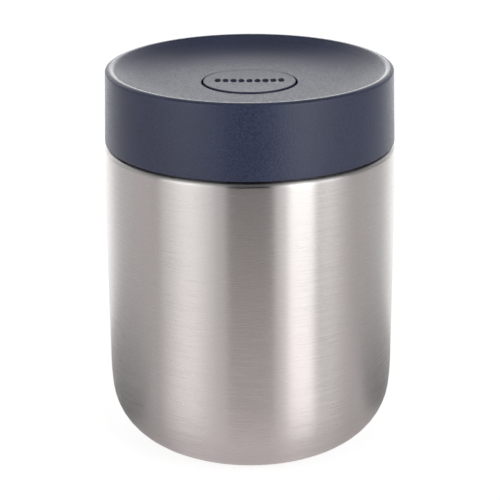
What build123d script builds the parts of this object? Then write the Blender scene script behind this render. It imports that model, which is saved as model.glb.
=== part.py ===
from build123d import *
import math
import os

os.makedirs("parts", exist_ok=True)

# All lengths are in millimetres. The origin is the centre of the base, on the surface
# that the canister stands on, and +Z is up through the lid.

# Steel body, outside
body_dia = 100.0
shoulder_height = 107.6
steel_wall = 0.6
shoulder_round = 1.5
corner_radius = 20.8          # main arc of the base corner
corner_lead_radius = 90.0     # long arc that eases the wall into the corner
corner_lead_angle = 6.0       # degrees that the long arc turns
shell_weld_rise = 2.0         # weld line above the corner

# Base of the steel body
foot_width = 3.4              # flat ring that the canister stands on
recess_depth = 2.0
recess_round = 0.9
evacuation_hole_dia = 2.0
bead_cover = 2.0              # glass bead over the hole, beyond the hole's edge
bead_height = 0.8
bead_stub = 0.3               # glass that stands through on the vacuum side
dimple_room = 3.8             # flat round the bead, out to the dimple's sloped wall
dimple_slope = 0.7
dimple_depth = 1.2

# Neck and lip
shoulder_width = 5.8          # ledge between the body's wall and the neck
neck_height = 14.0
neck_root_round = 0.8
lip_width = 1.7

# Inner vessel, inside the vacuum gap
vacuum_gap = 3.4
floor_height = 8.0            # food side of the vessel's floor
vessel_weld_rise = 2.0
mouth_drop = 4.0              # straight wall of the mouth, on below the shoulder
mouth_ease_radius = 6.0       # two arcs that draw the vessel in to its mouth

# Foil wrapped round the inner vessel
foil_thickness = 0.15
foil_clearance = 0.15
foil_margin = 6.0
foil_slit = 3.0

# Getter pellet and the strap that holds it under the vessel's floor
getter_inset = 12.2           # in from the edge of the floor's flat
pellet_dia = 8.0
pellet_thickness = 1.2
strap_thickness = 0.3
strap_width = 4.0
strap_foot = 3.0
strap_clearance = 0.2

# Lid cap, outside
lid_gap = 0.6                 # dark line between the steel shoulder and the lid
lid_inset = 0.5               # foot of the lid, in from the steel wall
lid_taper = 0.8               # top of the lid, in from its foot
lid_edge_round = 0.5
rim_crown_radius = 2.4        # rounded rim of the dish
rim_crest_inset = 1.66        # crest of the rim, in from the lid's top diameter
rim_inner_drop = 0.5          # where the rim hands over to the dish, below the crest
rim_outer_round = 0.8
rim_inner_round = 1.5
dish_depth = 5.45
dish_bank = 17.6              # width of the dish's curved wall
dish_room = 0.95              # between the cap's floor and the roof of the core
cap_wall = 1.7
cap_floor = 1.8

# Button
button_dia = 31.4
button_gap = 0.6              # ring gap between the button and the dish
button_rise = 0.35
button_edge_round = 0.4
button_floor = 1.6
button_skirt_wall = 1.3
button_travel = 2.5
button_stop_gap = 0.3         # left under the skirt at full travel
button_skirt_length = 6.35
boss_clearance = 0.5          # between the boss and the inside of the spring
boss_room = 1.15              # left under the boss at full travel

# Lid core: threaded skirt, roof and button well in one moulding
core_clearance = 0.15
core_inset = 0.4
thread_room = 1.5             # between the neck and the bore of the skirt
core_roof = 1.6
well_clearance = 0.5
well_wall = 1.4
well_floor = 1.4
seat_ring_height = 1.0        # locates the foot of the spring
rib_count = 8
rib_thickness = 1.2
rib_clearance = 0.3

# Lid plug: cup under the core that reaches down into the mouth
plug_clearance = 0.6
plug_wall = 1.4
plug_floor = 1.4
plug_round = 2.0
port_clearance = 0.8          # air path round the stem
port_wall = 1.4
port_height = 2.85            # from the plug's floor up to the button well
spigot_wall = 1.0
spigot_length = 3.0
spigot_clearance = 0.1

# Gasket and foam
gasket_thickness = 2.0
gasket_room = 0.75            # between the gasket and the thread's bore
gasket_round = 0.5
gasket_stretch_gap = 0.05
seal_gap = 0.1
foam_clearance = 0.25

# Vent valve under the button
spring_wire_dia = 0.8
spring_mean_dia = 11.6
spring_turns = 4
spring_seat_gap = 0.05
stem_dia = 3.2
stem_step = 0.5               # step that the seal sits against
stem_tail = 0.7               # stem that shows below the washer
stem_round = 0.3
washer_width = 1.7
washer_thickness = 0.5
valve_seal_cover = 3.3        # seal beyond the edge of the port
valve_seal_edge = 0.6
valve_seal_hub = 1.4
valve_seal_hub_margin = 0.2   # hub beyond the edge of the washer

# Places worked out from the sizes above
body_radius = body_dia / 2
shell_inner_radius = body_radius - steel_wall
lead_angle = math.radians(corner_lead_angle)
corner_top = (corner_lead_radius - corner_radius) * math.sin(lead_angle) + corner_radius
lead_centre = body_radius - corner_lead_radius
corner_centre = lead_centre + (corner_lead_radius - corner_radius) * math.cos(lead_angle)
shell_weld_height = corner_top + shell_weld_rise
foot_inner_radius = corner_centre - foot_width
evacuation_radius = evacuation_hole_dia / 2
bead_radius = evacuation_radius + bead_cover
dimple_flat_radius = bead_radius + dimple_room
bead_seat = recess_depth + dimple_depth

neck_radius = body_radius - shoulder_width
lip_height = shoulder_height + neck_height
mouth_radius = neck_radius - lip_width
lip_radius = lip_width / 2
lip_weld_height = lip_height - lip_radius

vessel_radius = shell_inner_radius - vacuum_gap
well_radius = vessel_radius - steel_wall
vessel_corner_radius = corner_radius - steel_wall - vacuum_gap - steel_wall
vessel_weld_height = floor_height + vessel_corner_radius + vessel_weld_rise
vessel_underside = floor_height - steel_wall
ease_turn = math.acos((2 * mouth_ease_radius - (well_radius - mouth_radius)) / (2 * mouth_ease_radius))
ease_height = 2 * mouth_ease_radius * math.sin(ease_turn)
mouth_foot = shoulder_height - mouth_drop
ease_foot = mouth_foot - ease_height
floor_flat_radius = well_radius - vessel_corner_radius
getter_offset = floor_flat_radius - getter_inset

bore_radius = neck_radius + thread_room
gasket_underside = lip_height + seal_gap
roof_underside = gasket_underside + gasket_thickness
roof_top = roof_underside + core_roof

cap_underside = roof_top + dish_room
dish_floor = cap_underside + cap_floor
total_height = dish_floor + dish_depth
lid_bottom = shoulder_height + lid_gap
lid_height = total_height - lid_bottom
lid_bottom_radius = body_radius - lid_inset
lid_top_radius = lid_bottom_radius - lid_taper
lid_draft = lid_taper / lid_height
crest_radius = lid_top_radius - rim_crest_inset
crown_centre_height = total_height - rim_crown_radius
crown_reach = math.sqrt(rim_crown_radius**2 - (lid_top_radius - crest_radius) ** 2)
rim_inner_height = total_height - rim_inner_drop
rim_inner_reach = math.sqrt(rim_crown_radius**2 - (rim_crown_radius - rim_inner_drop) ** 2)
rim_inner_radius = crest_radius - rim_inner_reach
dish_flat_radius = rim_inner_radius - dish_bank
dish_rise = rim_inner_height - dish_floor
dish_radius = (dish_bank**2 + dish_rise**2) / (2 * dish_rise)
dish_centre_height = dish_floor + dish_radius
dish_turn = math.asin(dish_bank / dish_radius)
cap_inner_radius = lid_bottom_radius - cap_wall
under_dish_radius = dish_radius + cap_floor

button_radius = button_dia / 2
button_hole_radius = button_radius + button_gap
button_top = dish_floor + button_rise
button_underside = button_top - button_floor
button_skirt_foot = button_underside - button_skirt_length
well_bore_radius = button_radius + well_clearance
well_outer_radius = well_bore_radius + well_wall
well_floor_top = button_skirt_foot - button_travel - button_stop_gap
well_floor_underside = well_floor_top - well_floor

spring_radius = spring_mean_dia / 2
boss_radius = spring_radius - spring_wire_dia / 2 - boss_clearance
boss_foot = well_floor_top + seat_ring_height + button_travel + boss_room
stem_radius = stem_dia / 2
stem_neck_radius = stem_radius - stem_step
port_radius = stem_radius + port_clearance
port_outer_radius = port_radius + port_wall

plug_radius = mouth_radius - plug_clearance
plug_bore_radius = plug_radius - plug_wall
plug_floor_top = well_floor_underside - port_height
plug_underside = plug_floor_top - plug_floor
spigot_radius = plug_bore_radius - spigot_clearance


def cap_wall_radius(height):
    """Radius of the cap's drafted inner wall at a height above the base."""
    return cap_inner_radius - lid_draft * (height - lid_bottom)


def under_dish_height(radius):
    """Height of the dish's underside at a radius outside its flat middle."""
    run = radius - dish_flat_radius
    return dish_centre_height - math.sqrt(under_dish_radius**2 - run**2)


# Outer shell: one tube, turned in at the shoulder and drawn up into the neck
with BuildPart() as outer_shell:
    with BuildSketch(Plane.XZ):
        with BuildLine():
            FilletPolyline(
                (body_radius, shell_weld_height),
                (body_radius, shoulder_height),
                (neck_radius, shoulder_height),
                (neck_radius, lip_weld_height),
                radius=[shoulder_round, neck_root_round],
            )
            offset(amount=steel_wall, side=Side.LEFT)
        make_face()
    revolve(axis=Axis.Z)
outer_shell.part.label = "outer_shell"
export_step(outer_shell.part, "parts/outer_shell.step")

# Outer bottom: drawn cup with the eased corner, the standing ring and the recessed middle
with BuildPart() as outer_bottom:
    with BuildSketch(Plane.XZ):
        with BuildLine():
            wall = Line((body_radius, shell_weld_height), (body_radius, corner_top))
            lead = CenterArc((lead_centre, corner_top), corner_lead_radius, 0, -corner_lead_angle)
            corner = CenterArc(
                (corner_centre, corner_radius), corner_radius, -corner_lead_angle, corner_lead_angle - 90
            )
            FilletPolyline(
                corner @ 1,
                (foot_inner_radius, 0),
                (foot_inner_radius, recess_depth),
                (dimple_flat_radius + dimple_slope, recess_depth),
                radius=recess_round,
            )
            Polyline(
                (dimple_flat_radius + dimple_slope, recess_depth),
                (dimple_flat_radius, bead_seat),
                (evacuation_radius, bead_seat),
            )
            offset(amount=steel_wall, side=Side.RIGHT, kind=Kind.INTERSECTION)
        make_face()
    revolve(axis=Axis.Z)
outer_bottom.part.label = "outer_bottom"
export_step(outer_bottom.part, "parts/outer_bottom.step")

# Inner vessel: straight tube, drawn in to the mouth, with its lip rolled out over the neck
with BuildPart() as inner_vessel:
    with BuildSketch(Plane.XZ):
        with BuildLine():
            turn = math.degrees(ease_turn)
            Line((well_radius, vessel_weld_height), (well_radius, ease_foot))
            CenterArc((well_radius - mouth_ease_radius, ease_foot), mouth_ease_radius, 0, turn)
            CenterArc((mouth_radius + mouth_ease_radius, mouth_foot), mouth_ease_radius, 180 + turn, -turn)
            Line((mouth_radius, mouth_foot), (mouth_radius, lip_weld_height))
            CenterArc((mouth_radius + lip_radius, lip_weld_height), lip_radius, 180, -180)
            offset(amount=steel_wall, side=Side.RIGHT)
        make_face()
    revolve(axis=Axis.Z)
inner_vessel.part.label = "inner_vessel"
export_step(inner_vessel.part, "parts/inner_vessel.step")

# Inner bottom: dished cap welded under the inner vessel
with BuildPart() as inner_bottom:
    with BuildSketch(Plane.XZ):
        with BuildLine():
            FilletPolyline(
                (well_radius, vessel_weld_height),
                (well_radius, floor_height),
                (0, floor_height),
                radius=vessel_corner_radius,
            )
            offset(amount=steel_wall, side=Side.LEFT)
        make_face()
    revolve(axis=Axis.Z)
inner_bottom.part.label = "inner_bottom"
export_step(inner_bottom.part, "parts/inner_bottom.step")

# Heat shield: foil wrapped once round the vessel's straight wall, with a slit where it meets
foil_radius = vessel_radius + foil_clearance
foil_foot = vessel_weld_height + foil_margin
foil_top = ease_foot - foil_margin
with BuildPart() as heat_shield:
    with BuildSketch(Plane.XY.offset(foil_foot)):
        Circle(foil_radius + foil_thickness)
        Circle(foil_radius, mode=Mode.SUBTRACT)
        with Locations((0, -foil_radius)):
            Rectangle(foil_slit, foil_slit, mode=Mode.SUBTRACT)
    extrude(amount=foil_top - foil_foot)
heat_shield.part.label = "heat_shield"
export_step(heat_shield.part, "parts/heat_shield.step")

# Getter: pressed pellet that takes up stray gas in the vacuum gap
with BuildPart() as getter:
    with BuildSketch(Plane.XY.offset(vessel_underside)):
        with Locations((getter_offset, 0)):
            Circle(pellet_dia / 2)
    extrude(amount=-pellet_thickness)
getter.part.label = "getter"
export_step(getter.part, "parts/getter.step")

# Getter clip: strap bent round the pellet, with two feet spot-welded to the vessel's floor
strap_rise = pellet_thickness + strap_clearance
strap_half = pellet_dia / 2 + strap_clearance
strap_reach = strap_half + strap_thickness + strap_foot
with BuildPart() as getter_clip:
    with BuildSketch(Plane.XZ.offset(-strap_width / 2)):
        with BuildLine():
            Polyline(
                (getter_offset - strap_reach, vessel_underside),
                (getter_offset - strap_half, vessel_underside),
                (getter_offset - strap_half, vessel_underside - strap_rise),
                (getter_offset + strap_half, vessel_underside - strap_rise),
                (getter_offset + strap_half, vessel_underside),
                (getter_offset + strap_reach, vessel_underside),
            )
            offset(amount=strap_thickness, side=Side.RIGHT, kind=Kind.INTERSECTION)
        make_face()
    extrude(amount=strap_width)
getter_clip.part.label = "getter_clip"
export_step(getter_clip.part, "parts/getter_clip.step")

# Evacuation plug: bead of solder glass in the dimple, run up through the hole
with BuildPart() as evacuation_plug:
    with BuildSketch(Plane.XZ):
        with BuildLine():
            Polyline(
                (0, bead_seat - bead_height),
                (0, bead_seat + steel_wall + bead_stub),
                (evacuation_radius, bead_seat + steel_wall + bead_stub),
                (evacuation_radius, bead_seat),
                (bead_radius, bead_seat),
            )
            RadiusArc(
                (bead_radius, bead_seat),
                (0, bead_seat - bead_height),
                (bead_radius**2 + bead_height**2) / (2 * bead_height),
            )
        make_face()
    revolve(axis=Axis.Z)
evacuation_plug.part.label = "evacuation_plug"
export_step(evacuation_plug.part, "parts/evacuation_plug.step")

# Lid cap: drafted skirt, crowned rim and dished top with the button's hole
under_dish_edge = cap_wall_radius(crown_centre_height)
with BuildPart() as lid_cap:
    with BuildSketch(Plane.XZ) as cap_section:
        with BuildLine():
            Polyline(
                (button_hole_radius, dish_floor),
                (button_hole_radius, cap_underside),
                (dish_flat_radius, cap_underside),
            )
            ThreePointArc(
                (dish_flat_radius, cap_underside),
                (
                    (dish_flat_radius + under_dish_edge) / 2,
                    under_dish_height((dish_flat_radius + under_dish_edge) / 2),
                ),
                (under_dish_edge, under_dish_height(under_dish_edge)),
            )
            Polyline(
                (under_dish_edge, under_dish_height(under_dish_edge)),
                (cap_inner_radius, lid_bottom),
                (lid_bottom_radius, lid_bottom),
                (lid_top_radius, crown_centre_height + crown_reach),
            )
            rim = ThreePointArc(
                (lid_top_radius, crown_centre_height + crown_reach),
                (crest_radius, total_height),
                (rim_inner_radius, rim_inner_height),
            )
            ThreePointArc(
                rim @ 1,
                (
                    dish_flat_radius + dish_radius * math.sin(dish_turn / 2),
                    dish_centre_height - dish_radius * math.cos(dish_turn / 2),
                ),
                (dish_flat_radius, dish_floor),
            )
            Line((dish_flat_radius, dish_floor), (button_hole_radius, dish_floor))
        make_face()
        corners = cap_section.vertices()
        fillet(corners.sort_by_distance((lid_bottom_radius, lid_bottom))[0], lid_edge_round)
        corners = cap_section.vertices()
        fillet(corners.sort_by_distance(rim @ 0)[0], rim_outer_round)
        corners = cap_section.vertices()
        fillet(corners.sort_by_distance(rim @ 1)[0], rim_inner_round)
    revolve(axis=Axis.Z)
lid_cap.part.label = "lid_cap"
export_step(lid_cap.part, "parts/lid_cap.step")

# Lid core: skirt for the thread, roof over the lip, button well and ribs under the dish
core_foot = lid_bottom + core_inset
core_foot_radius = cap_wall_radius(core_foot) - core_clearance
core_top_radius = cap_wall_radius(roof_top) - core_clearance
rib_inner_radius = well_outer_radius - well_wall / 2
rib_outer_radius = core_top_radius - rib_thickness
with BuildPart() as lid_core:
    with BuildSketch(Plane.XZ):
        with BuildLine():
            Polyline(
                (bore_radius, core_foot),
                (core_foot_radius, core_foot),
                (core_top_radius, roof_top),
                (well_outer_radius, roof_top),
                (well_outer_radius, cap_underside),
                (well_bore_radius, cap_underside),
                (well_bore_radius, well_floor_top),
                (boss_radius, well_floor_top),
                (boss_radius, well_floor_top + seat_ring_height),
                (port_radius, well_floor_top + seat_ring_height),
                (port_radius, well_floor_underside),
                (well_outer_radius, well_floor_underside),
                (well_outer_radius, roof_underside),
                (spigot_radius - spigot_wall, roof_underside),
                (spigot_radius - spigot_wall, roof_underside - spigot_length),
                (spigot_radius, roof_underside - spigot_length),
                (spigot_radius, roof_underside),
                (bore_radius, roof_underside),
                close=True,
            )
        make_face()
    revolve(axis=Axis.Z)
    with BuildSketch(Plane.XZ.offset(-rib_thickness / 2)) as rib_face:
        with BuildLine():
            rib_top = under_dish_height(rib_outer_radius) - rib_clearance
            rib_middle = (dish_flat_radius + rib_outer_radius) / 2
            Polyline(
                (rib_outer_radius, rib_top),
                (rib_outer_radius, roof_top),
                (rib_inner_radius, roof_top),
                (rib_inner_radius, cap_underside - rib_clearance),
                (dish_flat_radius, cap_underside - rib_clearance),
            )
            ThreePointArc(
                (dish_flat_radius, cap_underside - rib_clearance),
                (rib_middle, under_dish_height(rib_middle) - rib_clearance),
                (rib_outer_radius, rib_top),
            )
        make_face()
    rib = extrude(rib_face.sketch, amount=rib_thickness, mode=Mode.PRIVATE)
    with PolarLocations(0, rib_count):
        add(rib)
lid_core.part.label = "lid_core"
export_step(lid_core.part, "parts/lid_core.step")

# Lid plug: cup with the vent port standing in its floor
with BuildPart() as lid_plug:
    with BuildSketch(Plane.XZ) as plug_section:
        with BuildLine():
            Polyline(
                (plug_radius, roof_underside),
                (plug_radius, plug_underside),
                (port_radius, plug_underside),
                (port_radius, well_floor_underside),
                (port_outer_radius, well_floor_underside),
                (port_outer_radius, plug_floor_top),
                (plug_bore_radius, plug_floor_top),
                (plug_bore_radius, roof_underside),
                close=True,
            )
        make_face()
        corners = plug_section.vertices()
        fillet(corners.sort_by_distance((plug_radius, plug_underside))[0], plug_round)
    revolve(axis=Axis.Z)
lid_plug.part.label = "lid_plug"
export_step(lid_plug.part, "parts/lid_plug.step")

# Lid foam: insulation that fills the plug round the button well
foam_radius = spigot_radius - spigot_wall - foam_clearance
with BuildPart() as lid_foam:
    with BuildSketch(Plane.XZ):
        with BuildLine():
            Polyline(
                (port_outer_radius + foam_clearance, plug_floor_top),
                (foam_radius, plug_floor_top),
                (foam_radius, roof_underside - foam_clearance),
                (well_outer_radius + foam_clearance, roof_underside - foam_clearance),
                (well_outer_radius + foam_clearance, well_floor_underside - foam_clearance),
                (port_outer_radius + foam_clearance, well_floor_underside - foam_clearance),
                close=True,
            )
        make_face()
    revolve(axis=Axis.Z)
lid_foam.part.label = "lid_foam"
export_step(lid_foam.part, "parts/lid_foam.step")

# Lid gasket: flat ring round the plug, pressed on the lip by the roof of the core
gasket_inner_radius = plug_radius + gasket_stretch_gap
gasket_outer_radius = bore_radius - gasket_room
with BuildPart() as lid_gasket:
    with BuildSketch(Plane.XZ) as gasket_section:
        with BuildLine():
            Polyline(
                (gasket_inner_radius, gasket_underside),
                (gasket_outer_radius, gasket_underside),
                (gasket_outer_radius, roof_underside),
                (gasket_inner_radius, roof_underside),
                close=True,
            )
        make_face()
        fillet(gasket_section.vertices().group_by(Axis.X)[-1], gasket_round)
    revolve(axis=Axis.Z)
lid_gasket.part.label = "lid_gasket"
export_step(lid_gasket.part, "parts/lid_gasket.step")

# Vent button: shallow cap with a guide skirt and a boss for the stem
with BuildPart() as vent_button:
    with BuildSketch(Plane.XZ) as button_section:
        with BuildLine():
            Polyline(
                (0, button_top),
                (button_radius, button_top),
                (button_radius, button_skirt_foot),
                (button_radius - button_skirt_wall, button_skirt_foot),
                (button_radius - button_skirt_wall, button_underside),
                (boss_radius, button_underside),
                (boss_radius, boss_foot),
                (stem_radius, boss_foot),
                (stem_radius, button_underside),
                (0, button_underside),
                close=True,
            )
        make_face()
        corners = button_section.vertices()
        fillet(corners.sort_by_distance((button_radius, button_top))[0], button_edge_round)
    revolve(axis=Axis.Z)
vent_button.part.label = "vent_button"
export_step(vent_button.part, "parts/vent_button.step")

# Valve stem: pin pressed into the button, stepped down to carry the seal and its washer
stem_foot = plug_underside - valve_seal_hub - washer_thickness - stem_tail
with BuildPart() as valve_stem:
    with BuildSketch(Plane.XZ) as stem_section:
        with BuildLine():
            Polyline(
                (0, button_underside),
                (stem_radius, button_underside),
                (stem_radius, plug_underside),
                (stem_neck_radius, plug_underside),
                (stem_neck_radius, stem_foot),
                (0, stem_foot),
                close=True,
            )
        make_face()
        corners = stem_section.vertices()
        fillet(corners.sort_by_distance((stem_neck_radius, stem_foot))[0], stem_round)
    revolve(axis=Axis.Z)
valve_stem.part.label = "valve_stem"
export_step(valve_stem.part, "parts/valve_stem.step")

# Valve seal: soft disc that the spring pulls up against the plug's underside
washer_radius = stem_neck_radius + washer_width
valve_seal_radius = port_radius + valve_seal_cover
valve_seal_hub_radius = washer_radius + valve_seal_hub_margin
with BuildPart() as valve_seal:
    with BuildSketch(Plane.XZ):
        with BuildLine():
            Polyline(
                (stem_neck_radius, plug_underside),
                (valve_seal_radius, plug_underside),
                (valve_seal_radius, plug_underside - valve_seal_edge),
                (valve_seal_hub_radius, plug_underside - valve_seal_hub),
                (stem_neck_radius, plug_underside - valve_seal_hub),
                close=True,
            )
        make_face()
    revolve(axis=Axis.Z)
valve_seal.part.label = "valve_seal"
export_step(valve_seal.part, "parts/valve_seal.step")

# Seal washer: push-on ring that keeps the seal on the stem
washer_top = plug_underside - valve_seal_hub
with BuildPart() as seal_washer:
    with BuildSketch(Plane.XY.offset(washer_top)):
        Circle(washer_radius)
        Circle(stem_neck_radius, mode=Mode.SUBTRACT)
    extrude(amount=-washer_thickness)
seal_washer.part.label = "seal_washer"
export_step(seal_washer.part, "parts/seal_washer.step")

# Button spring: round wire on a helix, drawn as two tangent arcs for each half turn
spring_foot = well_floor_top + spring_seat_gap + spring_wire_dia / 2
spring_head = button_underside - spring_seat_gap - spring_wire_dia / 2
spring_pitch = (spring_head - spring_foot) / spring_turns
half_turns = 2 * spring_turns


def helix_point(turns):
    """Point of the spring's centre line after a number of turns."""
    angle = 2 * math.pi * turns
    height = spring_foot + spring_pitch * turns
    return Vector(spring_radius * math.cos(angle), spring_radius * math.sin(angle), height)


def helix_tangent(turns):
    """Unit direction of the spring's centre line after a number of turns."""
    angle = 2 * math.pi * turns
    run = 2 * math.pi * spring_radius
    return Vector(-run * math.sin(angle), run * math.cos(angle), spring_pitch).normalized()


def biarc(start, start_tangent, end, end_tangent):
    """Joint of two arcs between two points, and the direction of the line there."""
    chord = end - start
    both = start_tangent + end_tangent
    spread = 2 * (1 - start_tangent.dot(end_tangent))
    along = chord.dot(both)
    reach = (math.sqrt(along**2 + spread * chord.dot(chord)) - along) / spread
    first = start + start_tangent * reach
    second = end - end_tangent * reach
    return (first + second) * 0.5, (second - first).normalized()


with BuildPart() as button_spring:
    with BuildLine() as spring_line:
        for half_turn in range(half_turns):
            start = helix_point(half_turn / 2)
            end = helix_point((half_turn + 1) / 2)
            start_tangent = helix_tangent(half_turn / 2)
            joint, joint_tangent = biarc(start, start_tangent, end, helix_tangent((half_turn + 1) / 2))
            TangentArc(start, joint, tangent=start_tangent)
            TangentArc(joint, end, tangent=joint_tangent)
    with BuildSketch(Plane(origin=spring_line.wires()[0] @ 0, z_dir=helix_tangent(0))):
        Circle(spring_wire_dia / 2)
    sweep(path=spring_line.wires()[0])
button_spring.part.label = "button_spring"
export_step(button_spring.part, "parts/button_spring.step")

# Least gap between one turn of the spring and the next, measured on points of its line
turn_samples = 48
samples = [helix_point(step / turn_samples) for step in range(turn_samples * spring_turns + 1)]
least = min(
    (samples[i] - samples[j]).length
    for i in range(len(samples))
    for j in range(i + turn_samples // 2, len(samples))
)
print(f"button_spring: least gap between turns {least - spring_wire_dia:.2f} mm")
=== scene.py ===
"""Finished model of a steel food canister with a screw-on dished lid and a sprung vent button.

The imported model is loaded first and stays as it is. Each class below works out the surfaces of one
sub-assembly in the same frame, in metres, with +Z up through the lid, and dresses them.
"""
import logging
import math
from dataclasses import dataclass
from enum import Enum
from typing import Callable, Sequence

import bpy
import numpy as np
from mathutils import Matrix, Vector


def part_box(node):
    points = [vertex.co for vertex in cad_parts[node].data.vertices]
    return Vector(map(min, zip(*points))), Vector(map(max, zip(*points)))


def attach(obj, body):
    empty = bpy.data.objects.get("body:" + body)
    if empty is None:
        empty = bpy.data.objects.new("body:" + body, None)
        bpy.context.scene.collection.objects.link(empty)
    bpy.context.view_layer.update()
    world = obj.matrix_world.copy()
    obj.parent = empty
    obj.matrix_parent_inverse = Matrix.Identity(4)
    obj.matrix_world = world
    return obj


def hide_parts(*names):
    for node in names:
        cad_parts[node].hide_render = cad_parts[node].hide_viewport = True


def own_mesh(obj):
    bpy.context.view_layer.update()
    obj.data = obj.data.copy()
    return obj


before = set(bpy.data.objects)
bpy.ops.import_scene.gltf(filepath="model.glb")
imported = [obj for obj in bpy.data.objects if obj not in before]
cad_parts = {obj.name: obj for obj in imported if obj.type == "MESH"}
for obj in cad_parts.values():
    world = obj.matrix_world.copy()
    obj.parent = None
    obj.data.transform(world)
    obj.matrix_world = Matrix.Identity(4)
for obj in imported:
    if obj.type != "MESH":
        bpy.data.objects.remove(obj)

log = logging.getLogger("canister")

MM = 0.001
TURN = 2 * math.pi
FULL_ROUND = 384           # columns round a large piece
LONG_ROUND = 288           # columns round a large piece with a long outline
SMALL_ROUND = 128          # columns round a small piece
CORNER_STEP = 7.0          # degrees between two points of a rounded corner
LONGEST_RUN = 2.0 * MM     # longest step between two rows on a straight run
SHARP_ANGLE = math.radians(32)
TINY = 1e-9
WALL = 0.6 * MM            # thickness of the steel
SHOULDER_HEIGHT = 107.6 * MM
NECK_RADIUS = 44.2 * MM    # outside of the neck
THREAD_HEIGHT = 1.1 * MM
WELL_HEIGHT = 117.65 * MM  # floor of the button well
MOULD_ROUND = 0.3 * MM     # eased edge of a moulded part
NOISE_LOW = 0.3            # nearly all of a noise lies between these two
NOISE_HIGH = 0.7
MIXED_LOW = 0.4            # and of a noise with a share of a second one, between these
MIXED_HIGH = 0.9
WHITE = (1.0, 1.0, 1.0, 1.0)


class Body(Enum):
    """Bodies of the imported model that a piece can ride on."""

    CANISTER = "canister"
    LID_SEAL = "lid_seal"
    LID = "lid"
    VENT_VALVE = "vent_valve"


class Slot(Enum):
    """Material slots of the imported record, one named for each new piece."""

    BODY_STEEL = "brushed_body_steel"
    VESSEL_STEEL = "satin_vessel_steel"
    GLASS = "solder_glass"
    SILICONE = "silicone"
    NAVY = "navy_plastic"
    CORE = "core_plastic"
    VALVE_STEEL = "valve_steel"


def eased(share: np.ndarray) -> np.ndarray:
    """Share held between 0 and 1 and eased at both: three times its square less twice its cube."""
    share = np.clip(share, 0, 1)
    return share * share * (3 - 2 * share)


def arc(centre: Sequence[float], radius: float, start: float, end: float) -> np.ndarray:
    """Points on an arc, each the centre plus the radius times the cosine and sine of its angle.

    Args:
        centre: radius and height of the arc's centre.
        radius: radius of the arc.
        start: angle of the first point, in degrees.
        end: angle of the last point, in degrees.

    Returns:
        Points as rows of radius and height.
    """
    steps = max(2, math.ceil(abs(end - start) / CORNER_STEP))
    angles = np.radians(np.linspace(start, end, steps + 1))
    return np.asarray(centre) + radius * np.stack([np.cos(angles), np.sin(angles)], axis=1)


def three_point_arc(start: Sequence[float], middle: Sequence[float], end: Sequence[float]) -> np.ndarray:
    """Points on the circle through three points, from the first to the last.

    The centre is equally far from all three, so it lies on both chords' bisectors. They give it as a pair
    of linear equations.

    Args:
        start: first point.
        middle: a point between the two ends.
        end: last point.

    Returns:
        Points as rows of radius and height.
    """
    first, mid, last = (np.asarray(p, float) for p in (start, middle, end))
    chords = np.stack([mid - first, last - mid])
    centre = np.linalg.solve(chords, np.stack([chords[0] @ (mid + first), chords[1] @ (last + mid)]) / 2)
    angles = np.unwrap([math.atan2(*(p - centre)[::-1]) for p in (first, mid, last)])
    return arc(centre, float(np.linalg.norm(first - centre)), *np.degrees(angles[[0, 2]]))


def rounded(corners: Sequence[Sequence[float]], closed: bool = False, radius: float = 0.0) -> np.ndarray:
    """Outline through corners, with an arc tangent to both sides at each rounded one.

    An arc's centre lies on the corner's bisector, at the radius over the sine of half the angle, and the
    arc leaves each side at the radius over the tangent of half the angle.

    Args:
        corners: radius, height and, where it differs from the others, the corner's rounding.
        closed: whether the last corner joins the first.
        radius: rounding of a corner that gives none, 0 for a sharp one.

    Returns:
        Points as rows of radius and height.
    """
    places = np.array([corner[:2] for corner in corners], float)
    runs = []
    for number, corner in enumerate(corners):
        here = places[number]
        rounding = corner[2] if len(corner) > 2 else radius
        if not rounding or not (closed or 0 < number < len(corners) - 1):
            runs.append(here[None])
            continue
        back = places[number - 1] - here
        onward = places[(number + 1) % len(corners)] - here
        back, onward = back / np.linalg.norm(back), onward / np.linalg.norm(onward)
        half = math.acos(np.clip(back @ onward, -1, 1)) / 2
        bisector = (back + onward) / np.linalg.norm(back + onward)
        centre = here + bisector * rounding / math.sin(half)
        ends = np.stack([back, onward]) * rounding / math.tan(half) + here - centre
        angles = np.degrees(np.unwrap(np.arctan2(ends[:, 1], ends[:, 0])))
        runs.append(arc(centre, rounding, *angles))
    return np.concatenate(runs)


def sheet_outline(path: np.ndarray, thickness: float) -> np.ndarray:
    """Closed outline of a sheet whose visible side follows a path.

    The hidden side is the path moved by the thickness along the mean of its two neighbours' normals,
    stretched by one over the cosine between them, to the right of the path's direction.

    Args:
        path: points of the visible side.
        thickness: thickness of the sheet, negative for the left of the path.

    Returns:
        Points of the closed outline.
    """
    steps = np.diff(path, axis=0)
    steps /= np.linalg.norm(steps, axis=1)[:, None]
    normals = np.stack([steps[:, 1], -steps[:, 0]], axis=1)
    before = np.concatenate([normals[:1], normals])
    after = np.concatenate([normals, normals[-1:]])
    mitre = (before + after) / (1 + np.sum(before * after, axis=1))[:, None]
    return np.concatenate([path, (path + thickness * mitre)[::-1]])


def spread(outline: np.ndarray, closed: bool, longest: float = LONGEST_RUN) -> np.ndarray:
    """Adds evenly spaced points to each run of an outline that is longer than a given step.

    Args:
        outline: points of the outline.
        closed: whether the last point joins the first.
        longest: longest step that stays.

    Returns:
        Points of the same outline, close enough for smooth shading.
    """
    ends = np.roll(outline, -1, axis=0) if closed else outline[1:]
    starts = outline if closed else outline[:-1]
    counts = np.maximum(1, np.ceil(np.linalg.norm(ends - starts, axis=1) / longest)).astype(int)
    which = np.repeat(np.arange(len(counts)), counts)
    share = (np.arange(len(which)) - np.repeat(np.cumsum(counts) - counts, counts)) / counts[which]
    points = starts[which] + share[:, None] * (ends - starts)[which]
    return points if closed else np.concatenate([points, outline[-1:]])


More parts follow.
